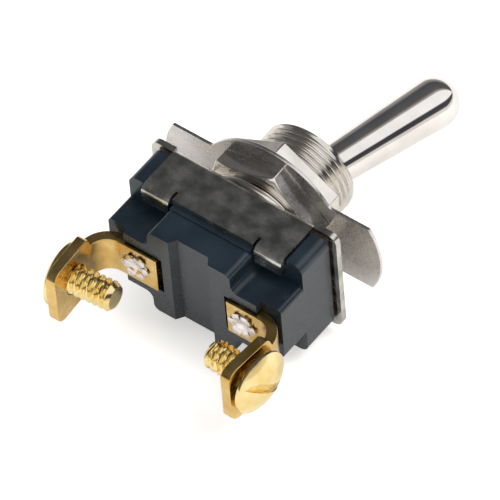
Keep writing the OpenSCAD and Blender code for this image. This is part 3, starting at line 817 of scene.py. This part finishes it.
@dataclass
class Studio:
    """The camera, the pale floor and the soft light.

    Attributes:
        target: The point the camera looks at.
        distance: Camera to target, in metres.
        floor: Height of the floor.
        bands: Angle about the lever, in degrees, to what polished metal sees there.
    """

    target: Colour = (0.0, 0.00035, 0.0)
    distance: float = 0.837
    back: Colour = (-0.417, 0.479, 0.772)
    up: Colour = (0.4351, -0.6406, 0.6327)
    lens: float = 554.8
    shift: tuple[float, float] = (0.0021, -0.0375)
    floor: float = -0.00936
    axis: Colour = (-0.2756, -0.9613, 0.0)
    bands: Sequence[tuple[float, Colour]] = (
        (-180, (0.80, 0.76, 0.72)), (-44, (0.80, 0.75, 0.71)), (-40, (0.06, 0.06, 0.07)),
        (-19, (0.05, 0.05, 0.06)), (-15, (1.0, 1.0, 1.0)), (31, (1.0, 1.0, 1.0)), (36, (0.42, 0.36, 0.33)),
        (48, (0.10, 0.10, 0.10)), (92, (0.07, 0.07, 0.08)), (112, (0.30, 0.29, 0.28)),
        (146, (0.48, 0.46, 0.45)),
        (180, (0.8, 0.77, 0.74)),
    )

    def camera(self) -> None:
        """Makes the camera."""
        back = Vector(self.back).normalized()
        right = Vector(self.up).cross(back).normalized()
        up = back.cross(right)
        data = bpy.data.cameras.new("camera")
        data.lens = self.lens
        data.sensor_width = 36.0
        data.shift_x, data.shift_y = self.shift
        data.clip_start, data.clip_end = 0.05, 50.0
        eye = bpy.data.objects.new("camera", data)
        place = Vector(self.target) + back * self.distance
        eye.matrix_world = Matrix((right, up, back)).transposed().to_4x4()
        eye.location = place
        bpy.context.scene.collection.objects.link(eye)
        bpy.context.scene.camera = eye

    def ground(self) -> None:
        """Makes the pale floor, which keeps the object's shadow."""
        bm = bmesh.new()
        bmesh.ops.create_grid(bm, x_segments=1, y_segments=1, size=3.0,
                              matrix=Matrix.Translation((0, 0, self.floor)))
        mesh = bpy.data.meshes.new("floor")
        bm.to_mesh(mesh)
        bm.free()
        plane = working("floor", mesh)
        material = bpy.data.materials.new("floor_paper")
        material.use_nodes = True
        graph = Graph(material.node_tree)
        seen = graph.add("ShaderNodeLightPath").outputs["Is Camera Ray"]
        paper = graph.add("ShaderNodeBsdfDiffuse", {"Color": (0.86, 0.84, 0.82, 1.0)}).outputs[0]
        glow = graph.add("ShaderNodeEmission",
                         {"Color": (1, 1, 1, 1), "Strength": graph.math("MULTIPLY", seen, 0.42)})
        both = graph.add("ShaderNodeAddShader", {0: paper, 1: glow.outputs[0]}).outputs[0]
        graph.add("ShaderNodeOutputMaterial", {"Surface": both})
        mesh.materials.append(material)

    def world(self) -> None:
        """Makes the surroundings: white, with dark flags for polished metal."""
        world = bpy.data.worlds.new("studio")
        bpy.context.scene.world = world
        world.use_nodes = True
        graph = Graph(world.node_tree)
        axis = Vector(self.axis).normalized()
        back = Vector(self.back).normalized()
        facing = (back - axis * back.dot(axis)).normalized()
        side = facing.cross(axis)
        way = graph.add("ShaderNodeTexCoord").outputs["Generated"]
        along = graph.add("ShaderNodeVectorMath", {0: way, 1: facing},
                          operation="DOT_PRODUCT").outputs["Value"]
        across = graph.add("ShaderNodeVectorMath", {0: way, 1: side},
                           operation="DOT_PRODUCT").outputs["Value"]
        turn = graph.math("DIVIDE", graph.math("ADD", graph.math("ARCTAN2", across, along), math.pi),
                          2 * math.pi)
        ramp = graph.add("ShaderNodeValToRGB", {0: turn})
        stops = ramp.color_ramp.elements
        stops.remove(stops[1])
        for place, (angle, colour) in enumerate(self.bands):
            stop = stops[place] if place < 1 else stops.new((angle + 180) / 360)
            stop.position = (angle + 180) / 360
            stop.color = (*colour, 1.0)
        path = graph.add("ShaderNodeLightPath").outputs
        studio = graph.add("ShaderNodeBackground", {"Color": ramp.outputs[0], "Strength": 1.0}).outputs[0]
        plain = graph.add("ShaderNodeBackground", {"Color": (1, 1, 1, 1), "Strength": 0.72}).outputs[0]
        white = graph.add("ShaderNodeBackground", {"Color": (1, 1, 1, 1), "Strength": 1.0}).outputs[0]
        lit = graph.add("ShaderNodeMixShader", {0: path["Is Glossy Ray"], 1: plain, 2: studio}).outputs[0]
        clear = graph.math("MAXIMUM", path["Is Camera Ray"], path["Is Transmission Ray"])
        shown = graph.add("ShaderNodeMixShader", {0: clear, 1: lit, 2: white}).outputs[0]
        graph.add("ShaderNodeOutputWorld", {"Surface": shown})

    def lamp(self, name: str, place: Colour, size: float, power: float, colour: Colour) -> None:
        """Adds a soft lamp aimed at the object.

        Args:
            name: The lamp's name.
            place: Where it stands, in metres.
            size: Its width.
            power: Its power, in watts.
            colour: Its colour.
        """
        data = bpy.data.lights.new(name, "AREA")
        data.size = size
        data.energy = power
        data.color = colour
        lamp = bpy.data.objects.new(name, data)
        lamp.location = place
        lamp.rotation_euler = Vector(place).to_track_quat("Z", "Y").to_euler()
        lamp.visible_glossy = False
        bpy.context.scene.collection.objects.link(lamp)

    def build(self) -> None:
        """Sets the whole studio."""
        self.camera()
        self.ground()
        self.world()
        self.lamp("key", (-0.35, -0.15, 0.65), 0.35, 3.2, (1.0, 0.98, 0.95))
        self.lamp("fill", (0.45, 0.45, 0.45), 0.5, 1.4, (0.93, 0.96, 1.0))
        bpy.context.scene.view_settings.view_transform = "Standard"


def main() -> None:
    """Builds the studio and every sub-assembly."""
    logging.basicConfig(level=logging.INFO, format="%(message)s")
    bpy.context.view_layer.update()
    Studio().build()
    for part in (Housing(), Bushing(), Lever(), Terminals(), Workings()):
        part.build()
        LOG.info("%s done", type(part).__name__)
    bpy.context.view_layer.update()


if __name__ == "__main__":
    main()
